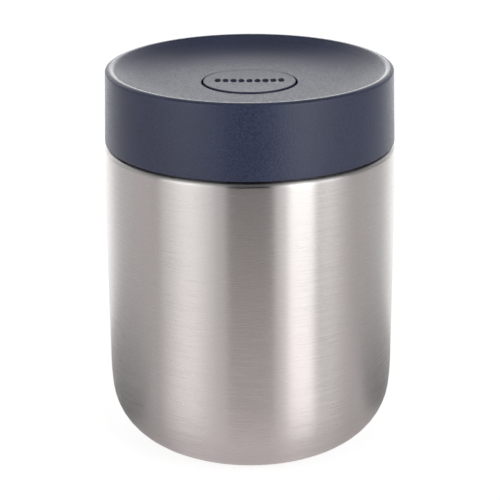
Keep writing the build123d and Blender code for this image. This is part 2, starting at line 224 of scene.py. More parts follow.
def revolve(outline: np.ndarray, columns: int) -> np.ndarray:
    """Surface of an outline turned round the Z axis: radius times cosine, radius times sine, height.

    Args:
        outline: points as rows of radius and height.
        columns: number of places round the axis.

    Returns:
        Grid of points, one row for each point of the outline.
    """
    angles = np.arange(columns) * TURN / columns
    radius, height = outline[:, :1], outline[:, 1:]
    return np.stack([radius * np.cos(angles), radius * np.sin(angles), height + 0 * angles], axis=2)


def add_object(name: str, data: bpy.types.ID) -> bpy.types.Object:
    """Object in the scene.

    Args:
        name: name of the object.
        data: its mesh or camera.

    Returns:
        The object, at the origin.
    """
    item = bpy.data.objects.new(name, data)
    bpy.context.scene.collection.objects.link(item)
    return item


def grid_object(name: str, grid: np.ndarray, loop: bool) -> bpy.types.Object:
    """Mesh object of a surface of two parameters.

    Columns always close on themselves. A row whose points all meet becomes one vertex, as at a pole. The
    faces are turned so that the volume they enclose, a sixth of the sum of their triple products, is
    positive.

    Args:
        name: name of the piece.
        grid: points, by row and column.
        loop: whether the last row joins the first.

    Returns:
        The object, linked to the scene and smooth between its sharp edges.
    """
    rows, columns = grid.shape[:2]
    pole = np.ptp(grid, axis=1).max(axis=1) < TINY
    keep = np.ones((rows, columns), bool)
    keep[pole, 1:] = False
    count = np.where(pole, 1, columns)
    number = (np.cumsum(count) - count)[:, None] + np.where(pole[:, None], 0, np.arange(columns))
    below = number if loop else number[:-1]
    above = np.roll(number, -1, axis=0) if loop else number[1:]
    quads = np.stack([below, np.roll(below, -1, 1), np.roll(above, -1, 1), above], axis=2).reshape(-1, 4)
    vertices = grid[keep]
    corners = vertices[quads]
    first = np.cross(corners[:, 1] - corners[:, 0], corners[:, 2] - corners[:, 0])
    second = np.cross(corners[:, 2] - corners[:, 0], corners[:, 3] - corners[:, 0])
    if np.sum((first + second) * (corners[:, 0] - vertices.mean(axis=0))) < 0:
        quads = quads[:, ::-1]
    low_pole = quads[:, 0] == quads[:, 1]
    high_pole = quads[:, 2] == quads[:, 3]
    whole = ~(low_pole | high_pole)
    faces = quads[whole].tolist() + quads[low_pole & ~high_pole][:, 1:].tolist()
    faces += quads[high_pole & ~low_pole][:, :3].tolist()
    mesh = bpy.data.meshes.new(name)
    mesh.from_pydata(vertices.tolist(), [], faces)
    mesh.shade_smooth()
    mesh.set_sharp_from_angle(angle=SHARP_ANGLE)
    return add_object(name, mesh)


def capped(name: str, grid: np.ndarray) -> bpy.types.Object:
    """Surface closed at both ends by a point, the mean of its end row.

    Args:
        name: name of the piece.
        grid: points, by row and column.

    Returns:
        The piece.
    """
    ends = np.repeat(grid[[0, -1]].mean(axis=1)[:, None], grid.shape[1], axis=1)
    return grid_object(name, np.concatenate([ends[:1], grid, ends[1:]]), False)


def lathe(name: str, outline: np.ndarray, closed: bool, columns: int = FULL_ROUND) -> bpy.types.Object:
    """Turned piece from a closed outline, or from one that starts and ends on the axis.

    Args:
        name: name of the piece.
        outline: points as rows of radius and height.
        closed: whether the last point joins the first.
        columns: number of places round the axis.

    Returns:
        The piece.
    """
    return grid_object(name, revolve(spread(outline, closed), columns), closed)


def tube(name: str, path: np.ndarray, radius: float, columns: int) -> bpy.types.Object:
    """Round wire along a path that goes round the Z axis.

    Each ring lies in the plane of two directions square to the path: the one nearest to the axis's
    radius, and its cross product with the path. Both ends are closed by a point.

    Args:
        name: name of the piece.
        path: points of the wire's centre line.
        radius: radius of the wire.
        columns: points on each ring.

    Returns:
        The piece.
    """
    along = np.gradient(path, axis=0)
    along /= np.linalg.norm(along, axis=1)[:, None]
    out = path * [1, 1, 0]
    out -= along * np.sum(out * along, axis=1)[:, None]
    out /= np.linalg.norm(out, axis=1)[:, None]
    side = np.cross(along, out)
    angles = (np.arange(columns) * TURN / columns)[None, :, None]
    ring = np.cos(angles) * out[:, None] + np.sin(angles) * side[:, None]
    return capped(name, path[:, None] + radius * ring)


def linear(hex_colour: str) -> tuple[float, float, float, float]:
    """Linear colour of an sRGB hex value, by the curve that the sRGB standard gives.

    Args:
        hex_colour: the colour as "#rrggbb".

    Returns:
        Red, green and blue as a shader takes them, with an alpha of 1.
    """
    levels = [int(hex_colour[place:place + 2], 16) / 255 for place in (1, 3, 5)]
    red, green, blue = (v / 12.92 if v <= 0.04045 else ((v + 0.055) / 1.055) ** 2.4 for v in levels)
    return red, green, blue, 1.0


def add_node(tree: bpy.types.NodeTree, kind: str, settings: dict | None = None,
             links: dict | None = None) -> bpy.types.Node:
    """Adds one node, sets it up and joins its inputs.

    Args:
        tree: node tree that gets the node.
        kind: the node's type.
        settings: properties by name, or input values by socket name or number.
        links: sockets that feed its inputs, by input name or number. A node feeds by its first output.

    Returns:
        The node.
    """
    node = tree.nodes.new(kind)
    for name, value in (settings or {}).items():
        if isinstance(name, str) and hasattr(node, name):
            setattr(node, name, value)
        else:
            node.inputs[name].default_value = value
    for name, source in (links or {}).items():
        feed = source.outputs[0] if isinstance(source, bpy.types.Node) else source
        tree.links.new(feed, node.inputs[name])
    return node


def new_material(name: str) -> tuple[bpy.types.Material, bpy.types.NodeTree]:
    """Empty material.

    Args:
        name: name of the finish.

    Returns:
        The material and its node tree.
    """
    material = bpy.data.materials.new(name)
    material.use_nodes = True
    material.node_tree.nodes.clear()
    return material, material.node_tree


def axis_distance(tree: bpy.types.NodeTree, place: bpy.types.NodeSocket) -> bpy.types.NodeSocket:
    """Distance from the Z axis: the length of the place once its height is taken away.

    Args:
        tree: node tree that gets the nodes.
        place: the piece's own coordinates.

    Returns:
        The distance.
    """
    flat = add_node(tree, "ShaderNodeVectorMath", {"operation": "MULTIPLY", 1: (1, 1, 0)}, {0: place})
    return add_node(tree, "ShaderNodeVectorMath", {"operation": "LENGTH"}, {0: flat}).outputs["Value"]


@dataclass(frozen=True)
class Finish:
    """What every finish shares: a grain, as a noise, that moves the tone, the roughness and the relief."""

    name: str
    colour: str
    roughness: float
    grain: float
    tone: float = 0.06                # share by which the grain changes the brightness
    rough_change: float = 0.05
    relief: float = 0.01 * MM
    relief_strength: float = 0.3

    def rough(self, tree: bpy.types.NodeTree, grain: bpy.types.Node) -> bpy.types.Node:
        """Roughness that the grain moves up and down by the same amount."""
        return add_node(tree, "ShaderNodeMapRange",
                        {"From Min": NOISE_LOW, "From Max": NOISE_HIGH,
                         "To Min": self.roughness - self.rough_change,
                         "To Max": self.roughness + self.rough_change}, {"Value": grain})

    def finished(self, material: bpy.types.Material, grain: bpy.types.Node, tone: bpy.types.Node,
                 settings: dict, links: dict) -> bpy.types.Material:
        """Adds the shader, whose colour is multiplied by the tone and whose relief is the grain.

        Args:
            material: the material so far.
            grain: the noise.
            tone: brightness from it.
            settings: the shader's other values, by input name.
            links: what feeds its other inputs, by input name.

        Returns:
            The material, complete.
        """
        tree = material.node_tree
        tint = add_node(tree, "ShaderNodeMix",
                        {"data_type": "RGBA", "blend_type": "MULTIPLY", 0: 1.0, 6: linear(self.colour)},
                        {7: tone})
        relief = add_node(tree, "ShaderNodeBump",
                          {"Strength": self.relief_strength, "Distance": self.relief}, {"Height": grain})
        shader = add_node(tree, "ShaderNodeBsdfPrincipled", settings,
                          {"Base Color": tint.outputs[2], "Normal": relief, **links})
        add_node(tree, "ShaderNodeOutputMaterial", None, {"Surface": shader})
        return material


@dataclass(frozen=True)
class BrushedSteel(Finish):
    """Stainless sheet, brushed round the piece while it turns, so that fine level lines cover it.

    The lines spread each reflection up and down and keep it narrow from side to side, so the eye sees
    upright bands of light with a fine level grain.
    """

    name: str = "brushed stainless steel"
    colour: str = "#d4d1cf"
    roughness: float = 0.30
    grain: float = 0.19 * MM          # width of a line, coarser than real brushing, so that it shows
    tone: float = 0.12
    relief: float = 0.012 * MM
    relief_strength: float = 0.5
    line_length: float = 12.0 * MM
    anisotropy: float = 1.0
    spread_turn: float = 0.25         # turns from the lines' direction to the one they spread light in

    def material(self) -> bpy.types.Material:
        """Material whose lines follow the distance across the brushing, radius plus height."""
        material, tree = new_material(self.name)
        place = add_node(tree, "ShaderNodeTexCoord").outputs["Object"]
        parts = add_node(tree, "ShaderNodeSeparateXYZ", None, {0: place}).outputs
        across = add_node(tree, "ShaderNodeMath", {"operation": "ADD"},
                          {0: axis_distance(tree, place), 1: parts["Z"]})
        vector = add_node(tree, "ShaderNodeCombineXYZ", None, {0: parts["X"], 1: parts["Y"], 2: across})
        along = 1 / self.line_length
        stretch = add_node(tree, "ShaderNodeMapping", {"Scale": (along, along, 1 / self.grain)},
                           {"Vector": vector})
        lines = add_node(tree, "ShaderNodeTexNoise", {"Scale": 1.0}, {"Vector": stretch})
        tone = add_node(tree, "ShaderNodeMapRange",
                        {"From Min": NOISE_LOW, "From Max": NOISE_HIGH, "To Min": 1 - self.tone,
                         "To Max": 1.0}, {"Value": lines})
        way = add_node(tree, "ShaderNodeTangent", {"direction_type": "RADIAL", "axis": "Z"})
        return self.finished(
            material, lines, tone,
            {"Metallic": 1.0, "Anisotropic": self.anisotropy, "Anisotropic Rotation": self.spread_turn},
            {"Roughness": self.rough(tree, lines), "Tangent": way})


@dataclass(frozen=True)
class SpeckledFinish(Finish):
    """Solid material with an even grain: moulded plastic, rubber, foam, glass, foil or pressed powder."""

    metallic: float = 0.0
    transmission: float = 0.0
    sheen: float = 0.0
    patch: float = 18.0 * MM          # size of the slow change of tone over the piece
    patch_share: float = 0.3          # its strength beside the grain's
    ring_radius: float = 0.0          # ring round the axis that the mould leaves smoother, 0 for none
    ring_width: float = 2.4 * MM
    ring_roughness: float = 0.08

    def material(self) -> bpy.types.Material:
        """Material whose grain is a noise of the stated size on the piece's own coordinates."""
        material, tree = new_material(self.name)
        place = add_node(tree, "ShaderNodeTexCoord").outputs["Object"]
        grain, patch = (add_node(tree, "ShaderNodeTexNoise", {"Scale": 1 / size}, {"Vector": place})
                        for size in (self.grain, self.patch))
        both = add_node(tree, "ShaderNodeMath", {"operation": "MULTIPLY_ADD", 1: self.patch_share},
                        {0: patch, 2: grain})
        tone = add_node(tree, "ShaderNodeMapRange",
                        {"From Min": MIXED_LOW, "From Max": MIXED_HIGH, "To Min": 1 - self.tone,
                         "To Max": 1 + self.tone}, {"Value": both})
        rough = self.rough(tree, grain)
        if self.ring_radius:
            rough = self.ring(tree, place, rough)
        return self.finished(
            material, grain, tone,
            {"Metallic": self.metallic, "Transmission Weight": self.transmission, "Sheen Weight": self.sheen},
            {"Roughness": rough})

    def ring(self, tree: bpy.types.NodeTree, place: bpy.types.NodeSocket,
             rough: bpy.types.Node) -> bpy.types.Node:
        """Roughness that falls towards a ring, by the distance from it across the axis.

        Args:
            tree: node tree of the material.
            place: the piece's own coordinates.
            rough: roughness away from the ring.

        Returns:
            The changed roughness.
        """
        apart = add_node(tree, "ShaderNodeMath", {"operation": "SUBTRACT", 1: self.ring_radius},
                         {0: axis_distance(tree, place)})
        apart = add_node(tree, "ShaderNodeMath", {"operation": "ABSOLUTE"}, {0: apart})
        share = add_node(tree, "ShaderNodeMapRange",
                         {"interpolation_type": "SMOOTHSTEP", "From Max": self.ring_width / 2,
                          "To Min": 1.0, "To Max": 0.0}, {"Value": apart})
        return add_node(tree, "ShaderNodeMix", {"data_type": "FLOAT", 3: self.ring_roughness},
                        {0: share, 2: rough})


class Finishes:
    """Every material of the canister, made once and shared by the pieces."""

    def __init__(self) -> None:
        """Makes the materials."""
        self.body_steel = BrushedSteel().material()
        # The same sheet drawn and lightly brushed: a soft even sheen with hardly a line
        self.vessel_steel = BrushedSteel(
            "satin drawn stainless steel", anisotropy=0.5, tone=0.03).material()
        # Moulded polypropylene from a spark-eroded tool: a dull navy with a fine even grain
        self.navy = SpeckledFinish(
            "moulded navy polypropylene", "#323954", 0.40, 0.6 * MM, tone=0.34, rough_change=0.1,
            relief=0.08 * MM, relief_strength=0.8, ring_radius=46.6 * MM).material()
        # The same resin from a smoother tool, in plain grey
        self.core = SpeckledFinish(
            "moulded grey polypropylene", "#a3a7ab", 0.4, 0.5 * MM, tone=0.03).material()
        # Pressed silicone rubber: soft sheen and a faint mottle
        self.silicone = SpeckledFinish(
            "pressed silicone rubber", "#c9cbcc", 0.5, 0.8 * MM, tone=0.04, sheen=0.2).material()
        # Bright drawn wire, rod and strip: lines too fine to see, so only a faint mottle
        self.valve_steel = SpeckledFinish(
            "bright drawn stainless steel", "#d2cfcb", 0.25, 0.4 * MM, metallic=1.0, tone=0.03).material()
        # Thin rolled aluminium, crumpled where it was wrapped by hand
        self.foil = SpeckledFinish(
            "crumpled aluminium foil", "#e6e6e6", 0.22, 5.0 * MM, metallic=1.0, tone=0.03,
            relief=0.5 * MM, relief_strength=0.8).material()
        # Pressed and sintered metal powder: dark, dull and open-grained
        self.getter = SpeckledFinish(
            "sintered getter powder", "#4a4644", 0.75, 0.25 * MM, metallic=0.6, tone=0.25,
            relief=0.08 * MM, relief_strength=0.7).material()
        # Fused solder glass: dark, smooth and slightly clouded
        self.glass = SpeckledFinish(
            "fused solder glass", "#4b4238", 0.12, 1.2 * MM, tone=0.15, transmission=0.3).material()
        # Rigid foam with cells that show as a coarse open grain
        self.foam = SpeckledFinish(
            "rigid white foam", "#ebebe6", 0.9, 0.9 * MM, tone=0.08, relief=0.3 * MM,
            relief_strength=0.6).material()


def dress(piece: bpy.types.Object, material: bpy.types.Material) -> None:
    """Gives a piece its one material."""
    piece.data.materials.clear()
    piece.data.materials.append(material)


def place_piece(piece: bpy.types.Object, body: Body, slot: Slot, material: bpy.types.Material,
                *nodes: str) -> bpy.types.Object:
    """Dresses a finished piece and hangs it on its body.

    Args:
        piece: the piece, at rest in the frame.
        body: the body that it moves with.
        slot: slot of the record named for the piece; not used.
        material: its material.
        nodes: CAD nodes that it stands for.

    Returns:
        The same piece.
    """
    dress(piece, material)
    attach(piece, body.value)
    if nodes:
        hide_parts(*nodes)
    log.info("%s: %d faces, on %s", piece.name, len(piece.data.polygons), body.value)
    return piece


def dress_node(name: str, material: bpy.types.Material) -> None:
    """Gives a CAD node that stays in view its finished material.

    Args:
        name: name of the node.
        material: its material.
    """
    dress(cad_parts[name], material)
    log.info("%s: kept as packed", name)


@dataclass
class ThreadRidge:
    """Rounded ridges of a two-start, right-handed screw thread, with ends that fade into the wall."""

    name: str
    root_radius: float               # wall that the ridges stand on
    height: float                    # negative for ridges that point inwards
    foot: float                      # height of the first start's middle, where it begins
    width: float = 1.7 * MM
    sunk: float = 0.25 * MM          # part of the ridge inside the wall
    lead: float = 10.0 * MM
    starts: int = 2
    turns: float = 0.85
    first_turn: float = 0.0          # turns round the axis before the first start begins
    fade: float = 0.06               # turns over which an end rises
    end_dip: float = 0.1             # share of the height by which an end lies under the wall
    rows: int = 300
    shape: tuple[float, ...] = (0.0, 0.5, 0.85, 1.0, 1.0, 0.85, 0.5, 0.0)

    def surface(self, start: int) -> np.ndarray:
        """Grid of one ridge.

        Along the ridge, the angle and the height grow together by the lead for each turn. Across it,
        the radius is the wall's plus the ridge's height times the shape and a fade at both ends, where
        the ridge dips under the wall.

        Args:
            start: number of the start.

        Returns:
            Points, one row for each place along the ridge.
        """
        turn = np.linspace(0, self.turns, self.rows)[:, None]
        rise = eased(np.minimum(turn, self.turns - turn) / self.fade)
        share = np.array(self.shape)
        side = np.linspace(-0.5, 0.5, len(share))
        back = self.root_radius - math.copysign(self.sunk, self.height)
        radius = self.root_radius + self.height * (share * rise - (1 - rise) * self.end_dip)
        radius = np.concatenate([radius, np.full((self.rows, 2), back)], axis=1)
        across = np.concatenate([side, side[[-1, 0]]]) * self.width
        angle = (turn + self.first_turn + start / self.starts) * TURN
        height = self.foot + turn * self.lead + across
        return np.stack([radius * np.cos(angle), radius * np.sin(angle), height], axis=2)

    def build(self) -> bpy.types.Object:
        """Both starts as one piece, each closed at its ends."""
        return join([capped(self.name, self.surface(start)) for start in range(self.starts)])


def join(parts: list[bpy.types.Object]) -> bpy.types.Object:
    """Makes several objects one, under the first one's name.

    Args:
        parts: mesh objects at the origin.

    Returns:
        The joined object.
    """
    with bpy.context.temp_override(active_object=parts[0], selected_editable_objects=parts):
        bpy.ops.object.join()
    return parts[0]


@dataclass
class SteelBody:
    """Outside of the vessel: the shell with its shoulder and neck, and the drawn bottom."""

    finishes: Finishes
    shoulder_round: float = 1.5 * MM
    neck_root_round: float = 0.8 * MM
    corner_radius: float = 20.8 * MM
    lead_radius: float = 90.0 * MM
    lead_turn: float = 6.0
    foot_width: float = 3.4 * MM
    recess_depth: float = 2.0 * MM
    recess_round: float = 0.9 * MM
    dimple_radius: float = 6.8 * MM
    dimple_slope: float = 0.7 * MM
    dimple_depth: float = 1.2 * MM
    dimple_round: float = 0.35 * MM
    hole_radius: float = 1.0 * MM
    bead_radius: float = 3.0 * MM
    bead_height: float = 0.8 * MM
    bead_stub: float = 0.3 * MM
    thread_foot: float = 110.9 * MM

    def __post_init__(self) -> None:
        """Reads the radius and the two weld lines from the frame, and works out the dimple's seat."""
        low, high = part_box("outer_shell")
        self.radius = high.x
        self.weld_height = low.z
        self.lip_weld_height = high.z
        self.seat = self.recess_depth + self.dimple_depth

    def shell(self) -> bpy.types.Object:
        """Straight wall, turned in at the shoulder and drawn up into the neck."""
        path = rounded([(self.radius, self.weld_height),
                        (self.radius, SHOULDER_HEIGHT, self.shoulder_round),
                        (NECK_RADIUS, SHOULDER_HEIGHT, self.neck_root_round),
                        (NECK_RADIUS, self.lip_weld_height)])
        return lathe("shell_brushed", sheet_outline(path, -WALL), True)

    def bottom(self) -> bpy.types.Object:
        """Eased corner, standing ring, recessed middle and the dimple for the glass bead."""
        turn = math.radians(self.lead_turn)
        corner_top = (self.lead_radius - self.corner_radius) * math.sin(turn) + self.corner_radius
        lead_centre = self.radius - self.lead_radius
        corner_centre = lead_centre + (self.lead_radius - self.corner_radius) * math.cos(turn)
        ring = corner_centre - self.foot_width
        middle = rounded([(corner_centre, 0),
                          (ring, 0, self.recess_round),
                          (ring, self.recess_depth, self.recess_round),
                          (self.dimple_radius + self.dimple_slope, self.recess_depth),
                          (self.dimple_radius, self.seat),
                          (self.hole_radius, self.seat)], radius=self.dimple_round)
        path = np.concatenate([
            [(self.radius, self.weld_height)],
            arc((lead_centre, corner_top), self.lead_radius, 0, -self.lead_turn),
            arc((corner_centre, self.corner_radius), self.corner_radius, -self.lead_turn, -90)[1:],
            middle[1:],
        ])
        return lathe("bottom_brushed", sheet_outline(path, WALL), True)

    def bead(self) -> bpy.types.Object:
        """Domed bead of solder glass over the evacuation hole, with a stub through it."""
        dome = (self.bead_radius**2 + self.bead_height**2) / (2 * self.bead_height)
        half = math.degrees(math.asin(self.bead_radius / dome))
        end = self.seat + WALL + self.bead_stub
        outline = np.concatenate([
            arc((0, self.seat - self.bead_height + dome), dome, -90, half - 90),
            [(self.hole_radius, self.seat), (self.hole_radius, end), (0, end)],
        ])
        return lathe("glass_bead", outline, False, SMALL_ROUND)

    def build(self) -> None:
        """Builds and dresses the outside of the vessel."""
        steel = self.finishes.body_steel
        place_piece(self.shell(), Body.CANISTER, Slot.BODY_STEEL, steel, "outer_shell")
        place_piece(self.bottom(), Body.CANISTER, Slot.BODY_STEEL, steel, "outer_bottom")
        place_piece(self.bead(), Body.CANISTER, Slot.GLASS, self.finishes.glass, "evacuation_plug")
        ridge = ThreadRidge("neck_thread", NECK_RADIUS, THREAD_HEIGHT, self.thread_foot)
        place_piece(ridge.build(), Body.CANISTER, Slot.BODY_STEEL, steel)


@dataclass
class InnerVessel:
    """Inside of the vessel: the drawn wall with its rolled lip, the dished bottom, foil and getter."""

    finishes: Finishes
    lip_width: float = 1.7 * MM
    mouth_drop: float = 4.0 * MM
    ease_radius: float = 6.0 * MM
    corner_radius: float = 16.2 * MM

    def __post_init__(self) -> None:
        """Reads the well's radius, the lip, the weld line and the floor from the frame."""
        low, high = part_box("inner_vessel")
        self.well_radius = high.x - WALL
        self.weld_height = low.z
        self.lip_height = high.z
        self.floor_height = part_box("inner_bottom")[0].z + WALL

    def vessel(self) -> bpy.types.Object:
        """Wall that draws in to the mouth through two arcs and rolls out over the neck."""
        mouth = NECK_RADIUS - self.lip_width
        narrowing = self.well_radius - mouth
        turn = math.degrees(math.acos(1 - narrowing / (2 * self.ease_radius)))
        mouth_foot = SHOULDER_HEIGHT - self.mouth_drop
        ease_foot = mouth_foot - 2 * self.ease_radius * math.sin(math.radians(turn))
        lip = self.lip_width / 2
        path = np.concatenate([
            [(self.well_radius, self.weld_height)],
            arc((self.well_radius - self.ease_radius, ease_foot), self.ease_radius, 0, turn),
            arc((mouth + self.ease_radius, mouth_foot), self.ease_radius, 180 + turn, 180)[1:],
            arc((mouth + lip, self.lip_height - lip), lip, 180, 0),
        ])
        return lathe("vessel_satin", sheet_outline(path, WALL), True)

    def floor(self) -> bpy.types.Object:
        """Dished cap under the wall, closed at the axis."""
        radius, floor, corner = self.well_radius, self.floor_height, self.corner_radius
        inside = rounded([(0, floor), (radius, floor), (radius, self.weld_height)], radius=corner)
        outside = rounded([(radius + WALL, self.weld_height), (radius + WALL, floor - WALL),
                           (0, floor - WALL)], radius=corner + WALL)
        return lathe("vessel_floor_satin", np.concatenate([inside, outside]), False)

    def build(self) -> None:
        """Builds and dresses the inside of the vessel."""
        steel = self.finishes.vessel_steel
        place_piece(self.vessel(), Body.CANISTER, Slot.VESSEL_STEEL, steel, "inner_vessel")
        place_piece(self.floor(), Body.CANISTER, Slot.VESSEL_STEEL, steel, "inner_bottom")
        dress_node("heat_shield", self.finishes.foil)
        dress_node("getter", self.finishes.getter)
        dress_node("getter_clip", self.finishes.valve_steel)


@dataclass
class Rib:
    """Upright plate under the dish, from the button well out to the skirt, with eased upper edges."""

    inner_radius: float
    outer_radius: float
    foot: float
    thickness: float = 1.2 * MM
    ease: float = 0.2 * MM
    rows: int = 24

    def build(self, top: Callable[[np.ndarray], np.ndarray], angle: float) -> bpy.types.Object:
        """One rib: at each radius a six-sided section from the foot up to the top curve.

        Args:
            top: height of the rib's upper edge, as a function of the radius.
            angle: direction of the rib round the axis, in radians.

        Returns:
            The rib, closed at both ends.
        """
        radius = np.linspace(self.inner_radius, self.outer_radius, self.rows)[:, None]
        height = top(radius)
        half, ease = self.thickness / 2, self.ease
        side = np.array([-half, half, half, half - ease, ease - half, -half]) + 0 * radius
        drop = np.array([0, 0, ease, 0, 0, ease])
        level = np.where(np.array([1, 1, 0, 0, 0, 0]), self.foot, height - drop)
        grid = np.stack([radius * math.cos(angle) - side * math.sin(angle),
                         radius * math.sin(angle) + side * math.cos(angle), level], axis=2)
        return capped("rib", grid)


@dataclass
class Lid:
    """Lid: dished cap, threaded core with its button well, plug, foam and gasket."""

    finishes: Finishes
    inset: float = 0.5 * MM
    taper: float = 0.8 * MM
    edge_round: float = 0.5 * MM
    crown_radius: float = 2.4 * MM
    crest_inset: float = 1.66 * MM
    inner_drop: float = 0.5 * MM
    outer_round: float = 0.8 * MM
    inner_round: float = 1.5 * MM
    blend_points: int = 9
    dish_depth: float = 5.45 * MM
    dish_bank: float = 17.6 * MM
    cap_wall: float = 1.7 * MM
    cap_floor: float = 1.8 * MM
    underside_points: int = 16
    hole_radius: float = 16.3 * MM
    hole_round: float = 0.45 * MM
    thread_room: float = 1.5 * MM
    thread_foot: float = 110.25 * MM
    thread_turn: float = 0.12
    core_clearance: float = 0.15 * MM
    roof: float = 1.6 * MM
    well_radius: float = 16.2 * MM
    well_wall: float = 1.4 * MM
    well_floor: float = 1.4 * MM
    seat_radius: float = 4.9 * MM
    seat_height: float = 1.0 * MM
    port_radius: float = 2.4 * MM
    port_wall: float = 1.4 * MM
    plug_wall: float = 1.4 * MM
    plug_round: float = 2.0 * MM
    spigot_wall: float = 1.0 * MM
    spigot_length: float = 3.0 * MM
    spigot_clearance: float = 0.1 * MM
    rib_count: int = 8
    rib_clearance: float = 0.3 * MM
    rib_end: float = 1.2 * MM
    gasket_round: float = 0.5 * MM
    gasket_gap: float = 0.05 * MM

    def __post_init__(self) -> None:
        """Reads the cap, the core and the plug from the frame, and works out the dish."""
        low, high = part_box("lid_cap")
        self.foot = low.z
        self.top = high.z
        self.foot_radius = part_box("outer_shell")[1].x - self.inset
        self.top_radius = self.foot_radius - self.taper
        self.draft = self.taper / (self.top - self.foot)
        self.crest = self.top_radius - self.crest_inset
        self.inner_height = self.top - self.inner_drop
        self.inner_radius = self.crest - math.sqrt(
            self.crown_radius**2 - (self.crown_radius - self.inner_drop) ** 2)
        self.dish_floor = self.top - self.dish_depth
        self.flat_radius = self.inner_radius - self.dish_bank
        rise = self.inner_height - self.dish_floor
        self.dish_radius = (self.dish_bank**2 + rise**2) / (2 * rise)
        self.underside = self.dish_floor - self.cap_floor
        self.core_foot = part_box("lid_core")[0].z
        low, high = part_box("lid_plug")
        self.plug_radius = high.x
        self.plug_foot = low.z
        self.roof_height = high.z

    def under_dish(self, radius: np.ndarray | float) -> np.ndarray | float:
        """Height of the dish's underside at a radius: flat in the middle, then round the dish's centre."""
        run = np.maximum(radius - self.flat_radius, 0)
        return self.dish_floor + self.dish_radius - np.sqrt((self.dish_radius + self.cap_floor) ** 2 - run**2)

    def core_radius(self, height: float) -> float:
        """Radius of the core's drafted outside at a height."""
        return (self.foot_radius - self.cap_wall - self.core_clearance
                - self.draft * (height - self.foot))

    def cap(self) -> bpy.types.Object:
        """Drafted skirt, crowned rim and dish, with the button's hole."""
        crown_height = self.top - self.crown_radius
        crown_reach = math.sqrt(self.crown_radius**2 - (self.top_radius - self.crest) ** 2)
        half_turn = math.asin(self.dish_bank / self.dish_radius) / 2
        skirt_top = (self.top_radius, crown_height + crown_reach)
        skirt_inside = self.foot_radius - self.cap_wall
        under_edge = skirt_inside - self.draft * (crown_height - self.foot)
        crown = three_point_arc(skirt_top, (self.crest, self.top), (self.inner_radius, self.inner_height))
        dish = three_point_arc(
            (self.inner_radius, self.inner_height),
            (self.flat_radius + self.dish_radius * math.sin(half_turn),
             self.dish_floor + self.dish_radius * (1 - math.cos(half_turn))),
            (self.flat_radius, self.dish_floor))
        reach = np.linspace(self.flat_radius, under_edge, self.underside_points)
        below = np.stack([reach, self.under_dish(reach)], axis=1)
        crown, dish = self.soften(crown, dish)
        edge = self.edge_round
        outline = np.concatenate([
            below,
            rounded([below[-1], (skirt_inside, self.foot, edge / 2), (self.foot_radius, self.foot, edge),
                     (*crown[0], self.outer_round), crown[1]])[1:-1],
            crown[1:],
            dish[1:],
            rounded([dish[-1], (self.hole_radius, self.dish_floor, self.hole_round),
                     (self.hole_radius, self.underside), below[0]])[1:-1],
        ])
        return lathe("cap_moulded", outline, True)

    def soften(self, crown: np.ndarray, dish: np.ndarray) -> tuple[np.ndarray, np.ndarray]:
        """Rounds the edge where the crowned rim hands over to the dish.

        The bend is the curve whose two ends pull it by the squares of the shares of the way to them, and
        the edge by twice their product.

        Args:
            crown: points of the rim, from the outside in.
            dish: points of the dish, from the rim in.

        Returns:
            The two runs, with the bend between them.
        """
        reach = self.inner_round / 2
        keep_crown = crown[np.linalg.norm(crown - crown[-1], axis=1) > reach]
        keep_dish = dish[np.linalg.norm(dish - dish[0], axis=1) > reach]
        blend = np.linspace(0, 1, self.blend_points)[:, None]
        bend = ((1 - blend) ** 2 * keep_crown[-1] + 2 * blend * (1 - blend) * crown[-1]
                + blend**2 * keep_dish[0])
        return np.concatenate([keep_crown[:-1], bend]), keep_dish

    def core(self) -> bpy.types.Object:
        """Threaded skirt, roof, button well and spigot in one moulding, with ribs under the dish."""
        bore = NECK_RADIUS + self.thread_room
        roof_top = self.roof_height + self.roof
        well_outer = self.well_radius + self.well_wall
        well_foot = WELL_HEIGHT - self.well_floor
        seat_top = WELL_HEIGHT + self.seat_height
        spigot = self.plug_radius - self.plug_wall - self.spigot_clearance
        spigot_bore = spigot - self.spigot_wall
        spigot_foot = self.roof_height - self.spigot_length
        outline = rounded([
            (bore, self.core_foot), (self.core_radius(self.core_foot), self.core_foot),
            (self.core_radius(roof_top), roof_top), (well_outer, roof_top),
            (well_outer, self.underside), (self.well_radius, self.underside),
            (self.well_radius, WELL_HEIGHT), (self.seat_radius, WELL_HEIGHT),
            (self.seat_radius, seat_top), (self.port_radius, seat_top),
            (self.port_radius, well_foot, 0), (well_outer, well_foot),
            (well_outer, self.roof_height), (spigot_bore, self.roof_height),
            (spigot_bore, spigot_foot), (spigot, spigot_foot),
            (spigot, self.roof_height, 0), (bore, self.roof_height, 0),
        ], True, MOULD_ROUND)
        rib = Rib(well_outer - self.well_wall / 2, self.core_radius(roof_top) - self.rib_end, roof_top)
        ribs = [rib.build(lambda radius: self.under_dish(radius) - self.rib_clearance,
                          number * TURN / self.rib_count) for number in range(self.rib_count)]
        return join([lathe("core_moulded", outline, True, LONG_ROUND), *ribs])

    def plug(self) -> bpy.types.Object:
        """Cup that reaches down into the mouth, with the vent port standing in its floor."""
        floor_top = self.plug_foot + self.plug_wall
        port_top = WELL_HEIGHT - self.well_floor
        port_outer = self.port_radius + self.port_wall
        inside = self.plug_radius - self.plug_wall
        outline = rounded([
            (self.plug_radius, self.roof_height, 0), (self.plug_radius, self.plug_foot, self.plug_round),
            (self.port_radius, self.plug_foot, MOULD_ROUND / 2), (self.port_radius, port_top, 0),
            (port_outer, port_top, 0), (port_outer, floor_top),
            (inside, floor_top), (inside, self.roof_height, 0),
        ], True, MOULD_ROUND)
        return lathe("plug_moulded", outline, True)

